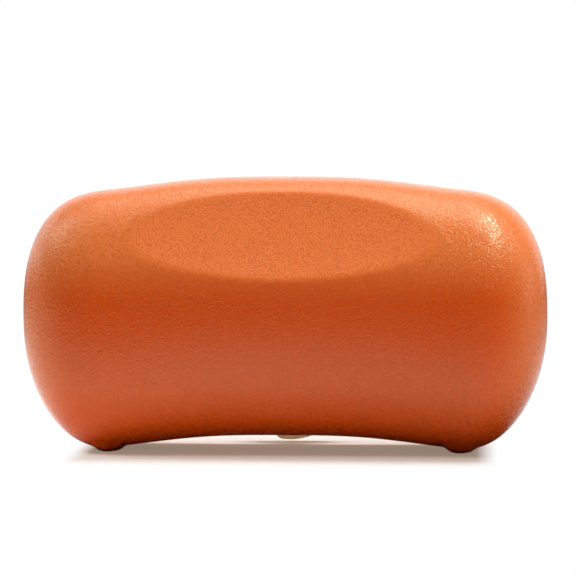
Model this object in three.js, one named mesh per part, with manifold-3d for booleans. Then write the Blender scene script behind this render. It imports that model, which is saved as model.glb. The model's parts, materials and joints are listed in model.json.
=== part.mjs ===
// A moulded foam bath pillow: a headrest that three suction cups hold on the sloping end of a bath.
// Its body is one thick skin of soft foamed plastic round a foam core, bent like a kidney when seen from
// the front, with an oval dish for the head on its upper front slope and a flat back. A stiff plate behind
// the back wall carries three sockets, and in each a push-in stud holds a suction cup that turns on it.
//
// Millimetres, +Z up, +X to the right and the front towards -Y. The origin is on the floor that the
// pillow's two low feet stand on, under the middle of the space that the whole object takes.

import * as THREE from "three";
import { mergeVertices } from "three/addons/utils/BufferGeometryUtils.js";
import Module from "manifold-3d";

const wasm = await Module();
wasm.setup();

// Body as seen from the front. Its mid-line sinks from the middle to near both ends.
const BODY_LENGTH = 290;
const BODY_HEIGHT = 143;
const CAP_LENGTH = 48.5;
const UPPER_CAP_POWER = 2.55;
const LOWER_CAP_POWER = 2;
const BEND_DROP = 8.5;
const BEND_REACH = 122.6;
const BEND_POWER = 3.3;

// Body in cross-section: rounded in front, squarer and cut flat behind
const FRONT_DEPTH = 46;
const FRONT_POWER = 2.5;
const BACK_DEPTH = 42;
const BACK_POWER = 5;
const BACK_PLANE = 37;
const SKIN_WALL = 3;

// Head dish: a shallow oval bowl that faces up and forward. Its middle is given from the body's mid-line,
// near the surface, and it lies deeper than that by the hollow.
const DISH_FORWARD = 41.3;
const DISH_RISE = 40;
const DISH_TILT = THREE.MathUtils.degToRad(22);
const DISH_HOLLOW = 5.9;
const BOWL_HALF_LENGTH = 106.5;
const BOWL_HALF_HEIGHT = 80;
const BOWL_RISE = 10;
const BOWL_LID = 45;

// Feet: low oval pads moulded under both ends, flat underneath, their middles set in from the ends
const FOOT_MARGIN = 47.5;
const FOOT_LENGTH = 13;
const FOOT_WIDTH = 30;
const FOOT_HEIGHT = 1.4;
const FOOT_ROOT = 5;
const FOOT_FLARE = 4;

// Gap between pieces that touch, and how far a cut runs past what it cuts
const GAP = 0.3;
const OVERRUN = 1;

// Suction cups on the back: the upper ones' places from the body's middle, how far the lower one's axis
// is above the body's underside, and the turn of each pull tab
const UPPER_CUP_SPREAD = 80;
const UPPER_CUP_RISE = 22;
const LOWER_CUP_MARGIN = 28.5;
const UPPER_TAB_TURN = THREE.MathUtils.degToRad(30);
const LOWER_TAB_TURN = THREE.MathUtils.degToRad(14);

// Insert plate behind the back wall
const PLATE_THICKNESS = 3;
const PLATE_MARGIN = 14;

// Socket: a flanged barrel with a blind bore
const BARREL_RADIUS = 9;
const BARREL_LENGTH = 17;
const FLANGE_RADIUS = 13;
const FLANGE_THICKNESS = 1.7;
const FLANGE_CHAMFER = 0.5;
const BORE_RADIUS = 4.7;
const BORE_LENGTH = 15;

// Lock ring on the barrel behind the plate
const RING_RADIUS = 13;
const RING_THICKNESS = 3;

// Stud: ribbed plug, stop collar, neck and button
const RIB_RADIUS = 4.4;
const RIB_DEPTH = 0.5;
const RIB_PITCH = 4;
const RIB_COUNT = 3;
const PLUG_NOSE = 1.5;
const COLLAR_RADIUS = 7;
const COLLAR_THICKNESS = 1;
const NECK_RADIUS = 3.8;
const BUTTON_RADIUS = 6.5;
const BUTTON_THICKNESS = 1.6;

// Suction cup: a boss round the button, then the bell out to its rim
const LIP_THICKNESS = 1.6;
const BOSS_RADIUS = 10;
const BELL_FLOOR = 1.8;
const BELL_RADIUS = 27.5;
const BELL_DEPTH = 8.8;
const RIM_EDGE = 1.4;
const RIM_LAND = 1.5;
const BELL_ROOT_RISE = 1.6;
const TAB_REACH = 8.5;
const TAB_WIDTH = 32;
const TAB_CORNER = 5;
const TAB_THICKNESS = 1.9;

// How finely the shapes are divided. A body's net has its steps along the straight part and each cap,
// and those round the section's quarters: upper front, upper back, lower back and lower front.
const SKIN_NET = { straightSteps: 10, capSteps: 6, quarterSteps: [10, 6, 6, 7] };
const CORE_NET = { straightSteps: 6, capSteps: 4, quarterSteps: [6, 6, 6, 6] };
const DISH_SEGMENTS = 32;
const DISH_RINGS = 3;
const FOOT_SEGMENTS = 12;
const TURNED_SEGMENTS = 20;
const STUD_SEGMENTS = 16;
const CUP_SEGMENTS = 28;
const BELL_STEPS = 4;
const TAB_CORNER_STEPS = 4;

// Derived places
const STRAIGHT_HALF = BODY_LENGTH / 2 - CAP_LENGTH;
const FOOT_PLACE = BODY_LENGTH / 2 - FOOT_MARGIN;
const MIDLINE_HEIGHT = BODY_HEIGHT / 2 + bendDrop(FOOT_PLACE) + FOOT_HEIGHT;
const SOCKET_FACE = GAP + FLANGE_THICKNESS;
const COLLAR_TOP = SOCKET_FACE + GAP + COLLAR_THICKNESS;
const BOSS_FOOT = COLLAR_TOP + GAP;
const BUTTON_FOOT = BOSS_FOOT + LIP_THICKNESS + GAP;
const BUTTON_TOP = BUTTON_FOOT + BUTTON_THICKNESS;
const BELL_APEX = BUTTON_TOP + GAP + BELL_FLOOR;
const RIM_PLANE = BELL_APEX + BELL_DEPTH;
const PLATE_TOP = -SKIN_WALL - GAP;
const RING_TOP = PLATE_TOP - PLATE_THICKNESS - GAP;

// Cups by name, seen from the front
const CUPS = [
  { name: "left", x: -UPPER_CUP_SPREAD, rise: UPPER_CUP_RISE, turn: -UPPER_TAB_TURN },
  { name: "right", x: UPPER_CUP_SPREAD, rise: UPPER_CUP_RISE, turn: UPPER_TAB_TURN },
  { name: "lower", x: 0, rise: LOWER_CUP_MARGIN - BODY_HEIGHT / 2, turn: LOWER_TAB_TURN },
];

// Materials
const skinMaterial = new THREE.MeshStandardMaterial({ color: 0xd2561c, roughness: 0.42, metalness: 0 });
const coreMaterial = new THREE.MeshStandardMaterial({ color: 0xe9dcc0, roughness: 0.95, metalness: 0 });
const plateMaterial = new THREE.MeshStandardMaterial({ color: 0x8c8f92, roughness: 0.6, metalness: 0 });
const socketMaterial = new THREE.MeshStandardMaterial({ color: 0xb9471a, roughness: 0.5, metalness: 0 });
const ringMaterial = new THREE.MeshStandardMaterial({ color: 0x55585c, roughness: 0.55, metalness: 0 });
const studMaterial = new THREE.MeshStandardMaterial({ color: 0xe6e1d6, roughness: 0.4, metalness: 0 });
const cupMaterial = new THREE.MeshStandardMaterial({
  color: 0xcfa873,
  roughness: 0.2,
  metalness: 0,
  transparent: true,
  opacity: 0.75,
});

// How far the mid-line has sunk at a distance x from the middle
function bendDrop(x) {
  return BEND_DROP * Math.sin(((Math.PI / 2) * Math.abs(x)) / BEND_REACH) ** BEND_POWER;
}

// Bends a solid that was made straight, as the mid-line is bent
function bend(solid) {
  return solid.warp((point) => {
    point[2] -= bendDrop(point[0]);
  });
}

// A point of the straight body's surface without its dish, or of the surface that lies inset inside it.
// The angle runs round the section from the front over the top.
function bodyPoint(x, angle, inset) {
  const forward = Math.cos(angle);
  const upward = Math.sin(angle);
  const power = forward > 0 ? FRONT_POWER : BACK_POWER;
  const depth = (forward > 0 ? FRONT_DEPTH : BACK_DEPTH) - inset;
  const halfHeight = BODY_HEIGHT / 2 - inset;
  const reach = (Math.abs(forward) ** power + Math.abs(upward) ** power) ** (-1 / power);
  const capPower = THREE.MathUtils.lerp(LOWER_CAP_POWER, UPPER_CAP_POWER, (1 + upward) / 2);
  const capShare = Math.min(1, Math.max(0, Math.abs(x) - STRAIGHT_HALF) / (CAP_LENGTH - inset));
  const size = reach * (1 - capShare ** capPower) ** (1 / capPower);
  return new THREE.Vector3(
    x,
    Math.min(-forward * depth * size, BACK_PLANE - inset),
    MIDLINE_HEIGHT + upward * halfHeight * size,
  );
}

// Sinks a point of the straight body that stands above the dish's bowl onto it. The bowl lies deeper by
// inset.
function sinkIntoDish(point, inset) {
  const middle = new THREE.Vector3(0, -DISH_FORWARD, MIDLINE_HEIGHT + DISH_RISE);
  const normal = new THREE.Vector3(0, -Math.cos(DISH_TILT), Math.sin(DISH_TILT));
  const offset = point.clone().sub(middle);
  const height = offset.dot(normal);
  const slope = Math.hypot(offset.y, offset.z) ** 2 - height ** 2;
  const spread = (point.x / BOWL_HALF_LENGTH) ** 2 + slope / BOWL_HALF_HEIGHT ** 2;
  const excess = height - (BOWL_RISE * spread - DISH_HOLLOW - inset);
  return excess > 0 ? point.addScaledVector(normal, -excess) : point;
}

// Distances from the middle at which the body has a section: even over the straight part, closer
// together towards the tips. The tips themselves are left out.
function stationList(inset, { straightSteps, capSteps }) {
  const caps = [];
  for (let step = 1; step < capSteps; step++) {
    const turn = (step / capSteps) * (Math.PI / 2);
    caps.push(STRAIGHT_HALF + (CAP_LENGTH - inset) * Math.sin(turn));
  }
  const stations = caps.map((x) => -x).reverse();
  for (let step = 0; step <= straightSteps; step++)
    stations.push(STRAIGHT_HALF * ((2 * step) / straightSteps - 1));
  return stations.concat(caps);
}

// Angles round the section, with their own number of steps in each quarter
function angleList({ quarterSteps }) {
  return quarterSteps.flatMap((steps, quarter) =>
    Array.from({ length: steps }, (_, step) => (quarter + step / steps) * (Math.PI / 2)),
  );
}

// The straight body's closed surface as a net of sections between two tip points
function bodyGeometry(inset, net) {
  const stations = stationList(inset, net);
  const angles = angleList(net);
  const around = angles.length;
  const tip = BODY_LENGTH / 2 - inset;
  const points = [bodyPoint(-tip, 0, inset)];
  for (const x of stations) points.push(...angles.map((angle) => bodyPoint(x, angle, inset)));
  points.push(bodyPoint(tip, 0, inset));
  const last = points.length - 1;
  const index = [];
  for (let i = 0; i < around; i++) {
    const next = (i + 1) % around;
    index.push(0, 1 + i, 1 + next);
    for (let row = 0; row < stations.length - 1; row++) {
      const here = 1 + row * around;
      const there = here + around;
      index.push(here + i, there + next, here + next, here + i, there + i, there + next);
    }
    const end = 1 + (stations.length - 1) * around;
    index.push(end + i, last, end + next);
  }
  return { points, index };
}

// A net's points and triangles as a geometry
function netGeometry({ points, index }) {
  return new THREE.BufferGeometry().setFromPoints(points).setIndex(index);
}

// A three.js geometry as a solid that can be joined and cut
function toSolid(geometry) {
  const bare = new THREE.BufferGeometry();
  bare.setAttribute("position", geometry.getAttribute("position"));
  bare.setIndex(geometry.index);
  const merged = mergeVertices(bare);
  const mesh = new wasm.Mesh({
    numProp: 3,
    vertProperties: merged.getAttribute("position").array,
    triVerts: new Uint32Array(merged.index.array),
  });
  return new wasm.Manifold(mesh);
}

// A solid as a three.js geometry with flat faces
function toGeometry(solid) {
  const mesh = solid.getMesh();
  const geometry = new THREE.BufferGeometry();
  geometry.setAttribute("position", new THREE.BufferAttribute(mesh.vertProperties, 3));
  geometry.setIndex(new THREE.BufferAttribute(mesh.triVerts, 1));
  const flat = geometry.toNonIndexed();
  flat.computeVertexNormals();
  return flat;
}

// A piece turned round an axis along Y from points given as [radius, place along the axis]
function turned(profile, segments) {
  return new THREE.LatheGeometry(
    profile.map(([radius, along]) => new THREE.Vector2(radius, along)),
    segments,
  );
}

// Moves a geometry whose zero is the middle of the back wall's outer face to a cup's place
function atCup(geometry, cup) {
  return geometry.translate(cup.x, BACK_PLANE, MIDLINE_HEIGHT + cup.rise);
}

// The bowl that the dish is cut with
function dishGeometry() {
  const profile = [];
  for (let ring = 0; ring <= DISH_RINGS; ring++) {
    const share = ring / DISH_RINGS;
    profile.push([share, BOWL_RISE * share ** 2]);
  }
  profile.push([1, BOWL_LID], [0, BOWL_LID]);
  const normal = new THREE.Vector3(0, -Math.cos(DISH_TILT), Math.sin(DISH_TILT));
  const along = new THREE.Vector3(1, 0, 0);
  const frame = new THREE.Matrix4().makeBasis(along, normal, along.clone().cross(normal));
  return turned(profile, DISH_SEGMENTS)
    .scale(BOWL_HALF_LENGTH, 1, BOWL_HALF_HEIGHT)
    .translate(0, -DISH_HOLLOW, 0)
    .applyMatrix4(frame)
    .translate(0, -DISH_FORWARD, MIDLINE_HEIGHT + DISH_RISE);
}

// The space inside the bent body, inset from its surface, with its points sunk below the dish
function innerBody(inset) {
  const net = bodyGeometry(inset, CORE_NET);
  for (const point of net.points) sinkIntoDish(point, inset);
  return bend(toSolid(netGeometry(net)));
}

// One foot pad
function footGeometry(x) {
  const height = FOOT_HEIGHT + FOOT_ROOT;
  const profile = [
    [0, 0],
    [FOOT_LENGTH / 2, 0],
    [FOOT_LENGTH / 2 + FOOT_FLARE, height],
    [0, height],
  ];
  return turned(profile, FOOT_SEGMENTS)
    .scale(1, 1, FOOT_WIDTH / FOOT_LENGTH)
    .rotateX(Math.PI / 2)
    .translate(x, 0, 0);
}

// The hole that a barrel needs, from well inside the body to past its back wall
function barrelHole(cup) {
  const radius = BARREL_RADIUS + GAP;
  const profile = [
    [0, -BARREL_LENGTH - GAP],
    [radius, -BARREL_LENGTH - GAP],
    [radius, OVERRUN],
    [0, OVERRUN],
  ];
  return toSolid(atCup(turned(profile, TURNED_SEGMENTS), cup));
}

function outerSkin() {
  let skin = bend(toSolid(netGeometry(bodyGeometry(0, SKIN_NET))).subtract(toSolid(dishGeometry())));
  for (const side of [-1, 1]) skin = skin.add(toSolid(footGeometry(side * FOOT_PLACE)));
  skin = skin.subtract(innerBody(SKIN_WALL));
  for (const cup of CUPS) skin = skin.subtract(barrelHole(cup));
  return toGeometry(skin);
}

function foamCore() {
  let core = innerBody(SKIN_WALL + GAP);
  core = core.subtract(toSolid(plateGeometry(GAP, false)));
  for (const cup of CUPS) {
    core = core.subtract(toSolid(atCup(ringGeometry(GAP), cup)));
    core = core.subtract(barrelHole(cup));
  }
  return toGeometry(core);
}

// The plate: a triangle between the three sockets with its corners rounded about them
function plateGeometry(clearance, pierced) {
  const corners = [CUPS[1], CUPS[0], CUPS[2]].map((cup) => new THREE.Vector2(cup.x, cup.rise));
  const radius = PLATE_MARGIN + clearance;
  const outline = new THREE.Shape();
  corners.forEach((corner, i) => {
    const before = corners[(i + 2) % 3].clone().sub(corner).negate();
    const after = corners[(i + 1) % 3].clone().sub(corner);
    const quarter = Math.PI / 2;
    outline.absarc(corner.x, corner.y, radius, before.angle() - quarter, after.angle() - quarter, false);
  });
  if (pierced)
    for (const corner of corners) {
      const hole = new THREE.Path();
      hole.absarc(corner.x, corner.y, BARREL_RADIUS + GAP, 0, 2 * Math.PI, true);
      outline.holes.push(hole);
    }
  const thickness = PLATE_THICKNESS + 2 * clearance;
  return new THREE.ExtrudeGeometry(outline, {
    depth: thickness,
    bevelEnabled: false,
    curveSegments: TURNED_SEGMENTS / 2,
  })
    .rotateX(Math.PI / 2)
    .translate(0, BACK_PLANE + PLATE_TOP + clearance, MIDLINE_HEIGHT);
}

function socketGeometry() {
  return turned(
    [
      [0, -BARREL_LENGTH],
      [BARREL_RADIUS, -BARREL_LENGTH],
      [BARREL_RADIUS, GAP],
      [FLANGE_RADIUS, GAP],
      [FLANGE_RADIUS, SOCKET_FACE - FLANGE_CHAMFER],
      [FLANGE_RADIUS - FLANGE_CHAMFER, SOCKET_FACE],
      [BORE_RADIUS, SOCKET_FACE],
      [BORE_RADIUS, -BORE_LENGTH],
      [0, -BORE_LENGTH],
    ],
    TURNED_SEGMENTS,
  );
}

// The lock ring, or with a clearance the room that it takes in the core
function ringGeometry(clearance) {
  const inner = BARREL_RADIUS + GAP - clearance;
  const outer = RING_RADIUS + clearance;
  const top = RING_TOP + clearance;
  const bottom = RING_TOP - RING_THICKNESS - clearance;
  return turned(
    [
      [inner, bottom],
      [outer, bottom],
      [outer, top],
      [inner, top],
      [inner, bottom],
    ],
    TURNED_SEGMENTS,
  );
}

function studGeometry() {
  const nose = GAP - BORE_LENGTH;
  const root = RIB_RADIUS - RIB_DEPTH;
  const profile = [
    [0, nose],
    [root - RIB_DEPTH, nose],
    [root, nose + PLUG_NOSE],
  ];
  for (let rib = 0; rib < RIB_COUNT; rib++) {
    const foot = nose + PLUG_NOSE + rib * RIB_PITCH;
    profile.push([root, foot + RIB_PITCH / 4], [RIB_RADIUS, foot + RIB_PITCH / 2]);
    profile.push([root, foot + (RIB_PITCH * 3) / 4]);
  }
  profile.push(
    [root, SOCKET_FACE + GAP],
    [COLLAR_RADIUS, SOCKET_FACE + GAP],
    [COLLAR_RADIUS, COLLAR_TOP],
    [NECK_RADIUS, COLLAR_TOP],
    [NECK_RADIUS, BUTTON_FOOT],
    [BUTTON_RADIUS, BUTTON_FOOT],
    [BUTTON_RADIUS, BUTTON_TOP],
    [0, BUTTON_TOP],
  );
  return turned(profile, STUD_SEGMENTS);
}

// Points along a bell's flare from one [radius, place] to another, hollow towards the given middle
function flare(from, middle, to) {
  const curve = new THREE.QuadraticBezierCurve(
    ...[from, middle, to].map(([radius, along]) => new THREE.Vector2(radius, along)),
  );
  return curve.getPoints(BELL_STEPS).map((point) => [point.x, point.y]);
}

// The suction cup's turned body: round the boss, out along the back of the bell, over the rim, back
// to the middle along its hollow side, and then the pocket that holds the button
function bellGeometry() {
  const bellRoot = BELL_APEX - BELL_ROOT_RISE;
  const rimBack = RIM_PLANE - RIM_EDGE;
  const rimInner = BELL_RADIUS - RIM_LAND;
  const pocketRadius = BUTTON_RADIUS + GAP;
  const holeRadius = NECK_RADIUS + GAP;
  const pocketFoot = BOSS_FOOT + LIP_THICKNESS;
  const pocketTop = BUTTON_TOP + GAP;
  return turned(
    [
      [0, pocketTop],
      [pocketRadius, pocketTop],
      [pocketRadius, pocketFoot],
      [holeRadius, pocketFoot],
      [holeRadius, BOSS_FOOT],
      [BOSS_RADIUS, BOSS_FOOT],
      ...flare([BOSS_RADIUS, bellRoot], [BELL_RADIUS - BOSS_RADIUS, bellRoot], [BELL_RADIUS, rimBack]),
      [BELL_RADIUS, RIM_PLANE],
      ...flare([rimInner, RIM_PLANE], [BELL_RADIUS - BOSS_RADIUS, BELL_APEX], [0, BELL_APEX]),
    ],
    CUP_SEGMENTS,
  );
}

// The pull tab: it starts along the rim's land and ends in an arc with two round corners
function tabGeometry() {
  const start = BELL_RADIUS - RIM_LAND;
  const end = BELL_RADIUS + TAB_REACH;
  const half = TAB_WIDTH / 2;
  const spread = Math.asin(half / start);
  const cornerReach = end - TAB_CORNER;
  const cornerX = half - TAB_CORNER;
  const cornerTurn = Math.asin(cornerX / cornerReach);
  const cornerY = -cornerReach * Math.cos(cornerTurn);
  const down = 1.5 * Math.PI;
  const outline = new THREE.Shape();
  outline.absarc(0, 0, start, spread - Math.PI / 2, -spread - Math.PI / 2, true);
  outline.absarc(-cornerX, cornerY, TAB_CORNER, Math.PI, down - cornerTurn, false);
  outline.absarc(0, 0, end, down - cornerTurn, down + cornerTurn, false);
  outline.absarc(cornerX, cornerY, TAB_CORNER, down + cornerTurn, 2 * Math.PI, false);
  const back = RIM_PLANE - GAP;
  return new THREE.ExtrudeGeometry(outline, {
    depth: TAB_THICKNESS,
    bevelEnabled: false,
    curveSegments: TAB_CORNER_STEPS,
  })
    .rotateX(Math.PI / 2)
    .translate(0, back, 0);
}

function suctionCup(cup) {
  const solid = toSolid(bellGeometry()).add(toSolid(tabGeometry().rotateY(-cup.turn)));
  return atCup(toGeometry(solid), cup);
}

// Adds one named piece to a group
function addPiece(group, name, geometry, material) {
  const mesh = new THREE.Mesh(geometry, material);
  mesh.name = name;
  group.add(mesh);
}

function cushionGroup() {
  const group = new THREE.Group();
  addPiece(group, "outer_skin", outerSkin(), skinMaterial);
  addPiece(group, "foam_core", foamCore(), coreMaterial);
  addPiece(group, "insert_plate", plateGeometry(0, true), plateMaterial);
  return group;
}

function cupGroup(cup) {
  const group = new THREE.Group();
  addPiece(group, "socket_" + cup.name, atCup(socketGeometry(), cup), socketMaterial);
  addPiece(group, "lock_ring_" + cup.name, atCup(ringGeometry(0), cup), ringMaterial);
  addPiece(group, "cup_stud_" + cup.name, atCup(studGeometry(), cup), studMaterial);
  addPiece(group, "suction_cup_" + cup.name, suctionCup(cup), cupMaterial);
  return group;
}

// The pieces are placed from the body's middle, and the whole is then moved so that the front of the body
// and the rims of the cups are equally far from the origin.
const bathPillow = new THREE.Group();
bathPillow.add(cushionGroup());
for (const cup of CUPS) bathPillow.add(cupGroup(cup));
bathPillow.position.y = (FRONT_DEPTH - BACK_PLANE - RIM_PLANE) / 2;

export default bathPillow;
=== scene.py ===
"""A moulded foam bath pillow, dressed for the camera.

The pillow is one body of soft plastic foam with a leather-grained skin, bent like a kidney, with
a shallow oval dish for the head and two low feet. Three suction cups stand on sockets in its flat
back. Everything is in metres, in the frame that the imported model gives.
"""
import json
import logging
import math
from dataclasses import dataclass
from enum import Enum

import bmesh
import bpy
from bpy.types import (Camera, Collection, Light, Material, Mesh, Node, NodeSocket, NodeTree,
                       Object)
from mathutils import Matrix, Quaternion, Vector

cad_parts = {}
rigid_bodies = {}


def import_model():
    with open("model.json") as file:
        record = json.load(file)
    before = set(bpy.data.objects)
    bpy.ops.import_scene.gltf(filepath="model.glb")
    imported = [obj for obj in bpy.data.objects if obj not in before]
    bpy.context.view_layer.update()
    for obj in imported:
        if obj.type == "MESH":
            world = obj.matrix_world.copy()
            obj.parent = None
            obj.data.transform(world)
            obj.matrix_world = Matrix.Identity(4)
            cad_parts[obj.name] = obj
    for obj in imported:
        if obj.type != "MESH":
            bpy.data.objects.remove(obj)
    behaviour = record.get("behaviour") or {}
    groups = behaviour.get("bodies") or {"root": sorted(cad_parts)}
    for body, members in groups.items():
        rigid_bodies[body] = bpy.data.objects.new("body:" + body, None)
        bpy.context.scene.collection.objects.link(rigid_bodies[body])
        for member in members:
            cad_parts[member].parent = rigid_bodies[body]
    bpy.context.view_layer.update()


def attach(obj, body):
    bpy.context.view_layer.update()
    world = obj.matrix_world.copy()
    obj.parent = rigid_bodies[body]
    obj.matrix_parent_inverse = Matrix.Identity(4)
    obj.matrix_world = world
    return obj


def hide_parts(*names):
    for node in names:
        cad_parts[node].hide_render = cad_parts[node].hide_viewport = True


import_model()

MM = 0.001
LOG = logging.getLogger("bath_pillow")

Color = tuple[float, float, float]
Span = tuple[float, float]
Profile = list[tuple[float, float]]
Value = NodeSocket | Color | float
Inputs = dict[str | int, Value]

# Edges that turn by more than this stay sharp, in radians.
SHARP_ANGLE = 0.6
# The most of a profile's side that the rounding of one of its corners takes.
CORNER_SHARE = 0.45
WHITE: Color = (1.0, 1.0, 1.0)
# The places of a Mix node's inputs and output for colours.
MIX_SHARE, MIX_FIRST, MIX_SECOND, MIX_RESULT = 0, 6, 7, 2


class Slot(Enum):
    """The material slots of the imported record."""

    SKIN = "skin"
    CORE = "core"
    PLATE = "plate"
    SOCKET = "socket"
    RING = "ring"
    STUD = "stud"
    CUP = "cup"


class Receiver(Enum):
    """What a lamp lights."""

    PILLOW = "lit_pillow"
    FLOOR = "lit_floor"


class Station(Enum):
    """Where a suction cup stands on the back, seen from the front."""

    LEFT = "left"
    RIGHT = "right"
    LOWER = "lower"


def smooth_min(a: float, b: float, width: float) -> float:
    """Takes the smaller of two values, rounded where they differ by less than the width."""
    share = min(1.0, max(0.0, 0.5 + 0.5 * (b - a) / width))
    return b + (a - b) * share - width * share * (1.0 - share)


# Meshes

def new_object(name: str, data: Mesh | Light | Camera) -> Object:
    """Puts a mesh, a lamp or a camera into the scene at the origin.

    Args:
        name: The object's name.
        data: The mesh, the lamp's data or the camera's data.

    Returns:
        The object.
    """
    piece = bpy.data.objects.new(name, data)
    bpy.context.scene.collection.objects.link(piece)
    return piece


def made_mesh(name: str, work: bmesh.types.BMesh, sharp_angle: float) -> Mesh:
    """Makes a mesh with its faces turned outward, shaded smooth up to an angle.

    Args:
        name: The mesh's name.
        work: The geometry, which is freed.
        sharp_angle: Edges that turn by more than this stay sharp, in radians.

    Returns:
        The mesh.
    """
    bmesh.ops.recalc_face_normals(work, faces=work.faces)
    mesh = bpy.data.meshes.new(name)
    work.to_mesh(mesh)
    work.free()
    mesh.shade_smooth()
    mesh.set_sharp_from_angle(angle=sharp_angle)
    return mesh


def net_mesh(name: str, rings: list[list[Vector]], sharp_angle: float) -> Mesh:
    """Joins rings of points into a closed net.

    Args:
        name: The mesh's name.
        rings: The rings, each with the same number of points or with one point at a tip. A net
            that doesn't start at a tip closes on itself.
        sharp_angle: Edges that turn by more than this stay sharp, in radians.

    Returns:
        The closed mesh.
    """
    work = bmesh.new()
    rows = [[work.verts.new(point) for point in ring] for ring in rings]
    pairs = list(zip(rows, rows[1:]))
    if len(rows[0]) > 1:
        pairs.append((rows[-1], rows[0]))
    for low, high in pairs:
        around = max(len(low), len(high))
        for i in range(around):
            after = (i + 1) % around
            if len(low) == 1:
                work.faces.new((low[0], high[i], high[after]))
            elif len(high) == 1:
                work.faces.new((low[i], high[0], low[after]))
            else:
                work.faces.new((low[i], high[i], high[after], low[after]))
    return made_mesh(name, work, sharp_angle)


def turned_mesh(name: str, profile: Profile, segments: int,
                sharp_angle: float = SHARP_ANGLE) -> Mesh:
    """Turns a profile round the Y axis.

    Args:
        name: The mesh's name.
        profile: Points as (radius, place along the axis). A radius of zero is a point on the
            axis, and a profile that starts off the axis closes on itself.
        segments: Number of steps round the axis.
        sharp_angle: Edges that turn by more than this stay sharp, in radians.

    Returns:
        The closed mesh.
    """
    turns = [2.0 * math.pi * i / segments for i in range(segments)]
    rings = [[Vector((radius * math.sin(turn), along, radius * math.cos(turn)))
              for turn in (turns if radius else turns[:1])] for radius, along in profile]
    return net_mesh(name, rings, sharp_angle)


def flare(start: Span | Vector, middle: Span | Vector, end: Span | Vector, steps: int) -> Profile:
    """Makes a quadratic curve between two profile points.

    Args:
        start: The first point.
        middle: The point that the curve bends towards.
        end: The last point.
        steps: Number of steps.

    Returns:
        The curve's points, both ends included.
    """
    shares = [step / steps for step in range(steps + 1)]
    points = [Vector(start) * (1 - share) ** 2 + Vector(middle) * 2 * share * (1 - share)
              + Vector(end) * share ** 2 for share in shares]
    return [(point.x, point.y) for point in points]


def rounded(profile: Profile, radius: float, steps: int = 4) -> Profile:
    """Rounds the inner corners of an open profile.

    Args:
        profile: The corner points. The first and the last stay as they are.
        radius: The rounding's reach along each side of a corner, limited by the sides' lengths.
        steps: Number of steps in each rounding.

    Returns:
        The profile with each corner replaced by a short curve.
    """
    result = [profile[0]]
    for before, corner, after in zip(profile, profile[1:], profile[2:]):
        here = Vector(corner)
        back = Vector(before) - here
        ahead = Vector(after) - here
        reach = min(radius, CORNER_SHARE * back.length, CORNER_SHARE * ahead.length)
        result += flare(here + back.normalized() * reach, here,
                        here + ahead.normalized() * reach, steps)
    result.append(profile[-1])
    return result


# Materials

def new_material(name: str) -> tuple[Material, Node]:
    """Makes a node material.

    Args:
        name: The material's name.

    Returns:
        The material and its Principled BSDF node.
    """
    material = bpy.data.materials.new(name)
    material.use_nodes = True
    return material, material.node_tree.nodes["Principled BSDF"]


def dress(piece: Object, material: Material) -> None:
    """Gives a piece one material all over."""
    piece.data.materials.clear()
    piece.data.materials.append(material)


def feed(tree: NodeTree, node: Node, inputs: Inputs) -> None:
    """Gives inputs of a node their values.

    Args:
        tree: The node tree.
        node: The node.
        inputs: A socket to link or a constant for each input, by its name or its place.
    """
    for key, value in inputs.items():
        socket = node.inputs[key]
        if isinstance(value, NodeSocket):
            tree.links.new(value, socket)
        elif socket.type == "RGBA":
            socket.default_value = (*value, 1.0)
        else:
            socket.default_value = value


def add_node(tree: NodeTree, kind: str, inputs: Inputs, **settings: str | NodeTree) -> Node:
    """Adds a shader node.

    Args:
        tree: The node tree.
        kind: The node's type, without its first words ShaderNode.
        inputs: The values of its inputs.
        **settings: Its own settings.

    Returns:
        The node.
    """
    node = tree.nodes.new("ShaderNode" + kind)
    for name, value in settings.items():
        setattr(node, name, value)
    feed(tree, node, inputs)
    return node


def new_group(name: str, inputs: tuple[str, ...],
              outputs: tuple[str, ...]) -> tuple[NodeTree, Node, Node]:
    """Starts a node group that reads a vector and some numbers and gives numbers.

    Args:
        name: The group's name.
        inputs: The names of its number inputs, after the input Vector.
        outputs: The names of its outputs.

    Returns:
        The group, its input node and its output node.
    """
    tree = bpy.data.node_groups.new(name, "ShaderNodeTree")
    tree.interface.new_socket("Vector", in_out="INPUT", socket_type="NodeSocketVector")
    for side, names in (("INPUT", inputs), ("OUTPUT", outputs)):
        for socket in names:
            tree.interface.new_socket(socket, in_out=side, socket_type="NodeSocketFloat")
    return tree, tree.nodes.new("NodeGroupInput"), tree.nodes.new("NodeGroupOutput")


def object_axes(tree: NodeTree) -> tuple[NodeSocket, ...]:
    """Reads X, Y and Z of the shaded point in the object's own frame."""
    place = add_node(tree, "TexCoord", {})
    return tuple(add_node(tree, "SeparateXYZ", {0: place.outputs["Object"]}).outputs)


def math_node(tree: NodeTree, operation: str, *values: NodeSocket | float) -> NodeSocket:
    """Adds a Math node with sockets or numbers as its inputs, and gives its output."""
    return add_node(tree, "Math", dict(enumerate(values)), operation=operation).outputs[0]


def mix_value(tree: NodeTree, share: NodeSocket, first: NodeSocket,
              second: NodeSocket | float) -> NodeSocket:
    """Mixes two values, of which the second counts by the share."""
    parts = ((first, math_node(tree, "SUBTRACT", 1.0, share)), (second, share))
    return math_node(tree, "ADD", *(math_node(tree, "MULTIPLY", *part) for part in parts))


def vector_node(tree: NodeTree, operation: str, vector: NodeSocket,
                other: NodeSocket | Color) -> NodeSocket:
    """Adds a Vector Math node, whose other input is a vector or the factor of a SCALE."""
    inputs = {0: vector, "Scale" if operation == "SCALE" else 1: other}
    return add_node(tree, "VectorMath", inputs, operation=operation).outputs[0]


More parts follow.
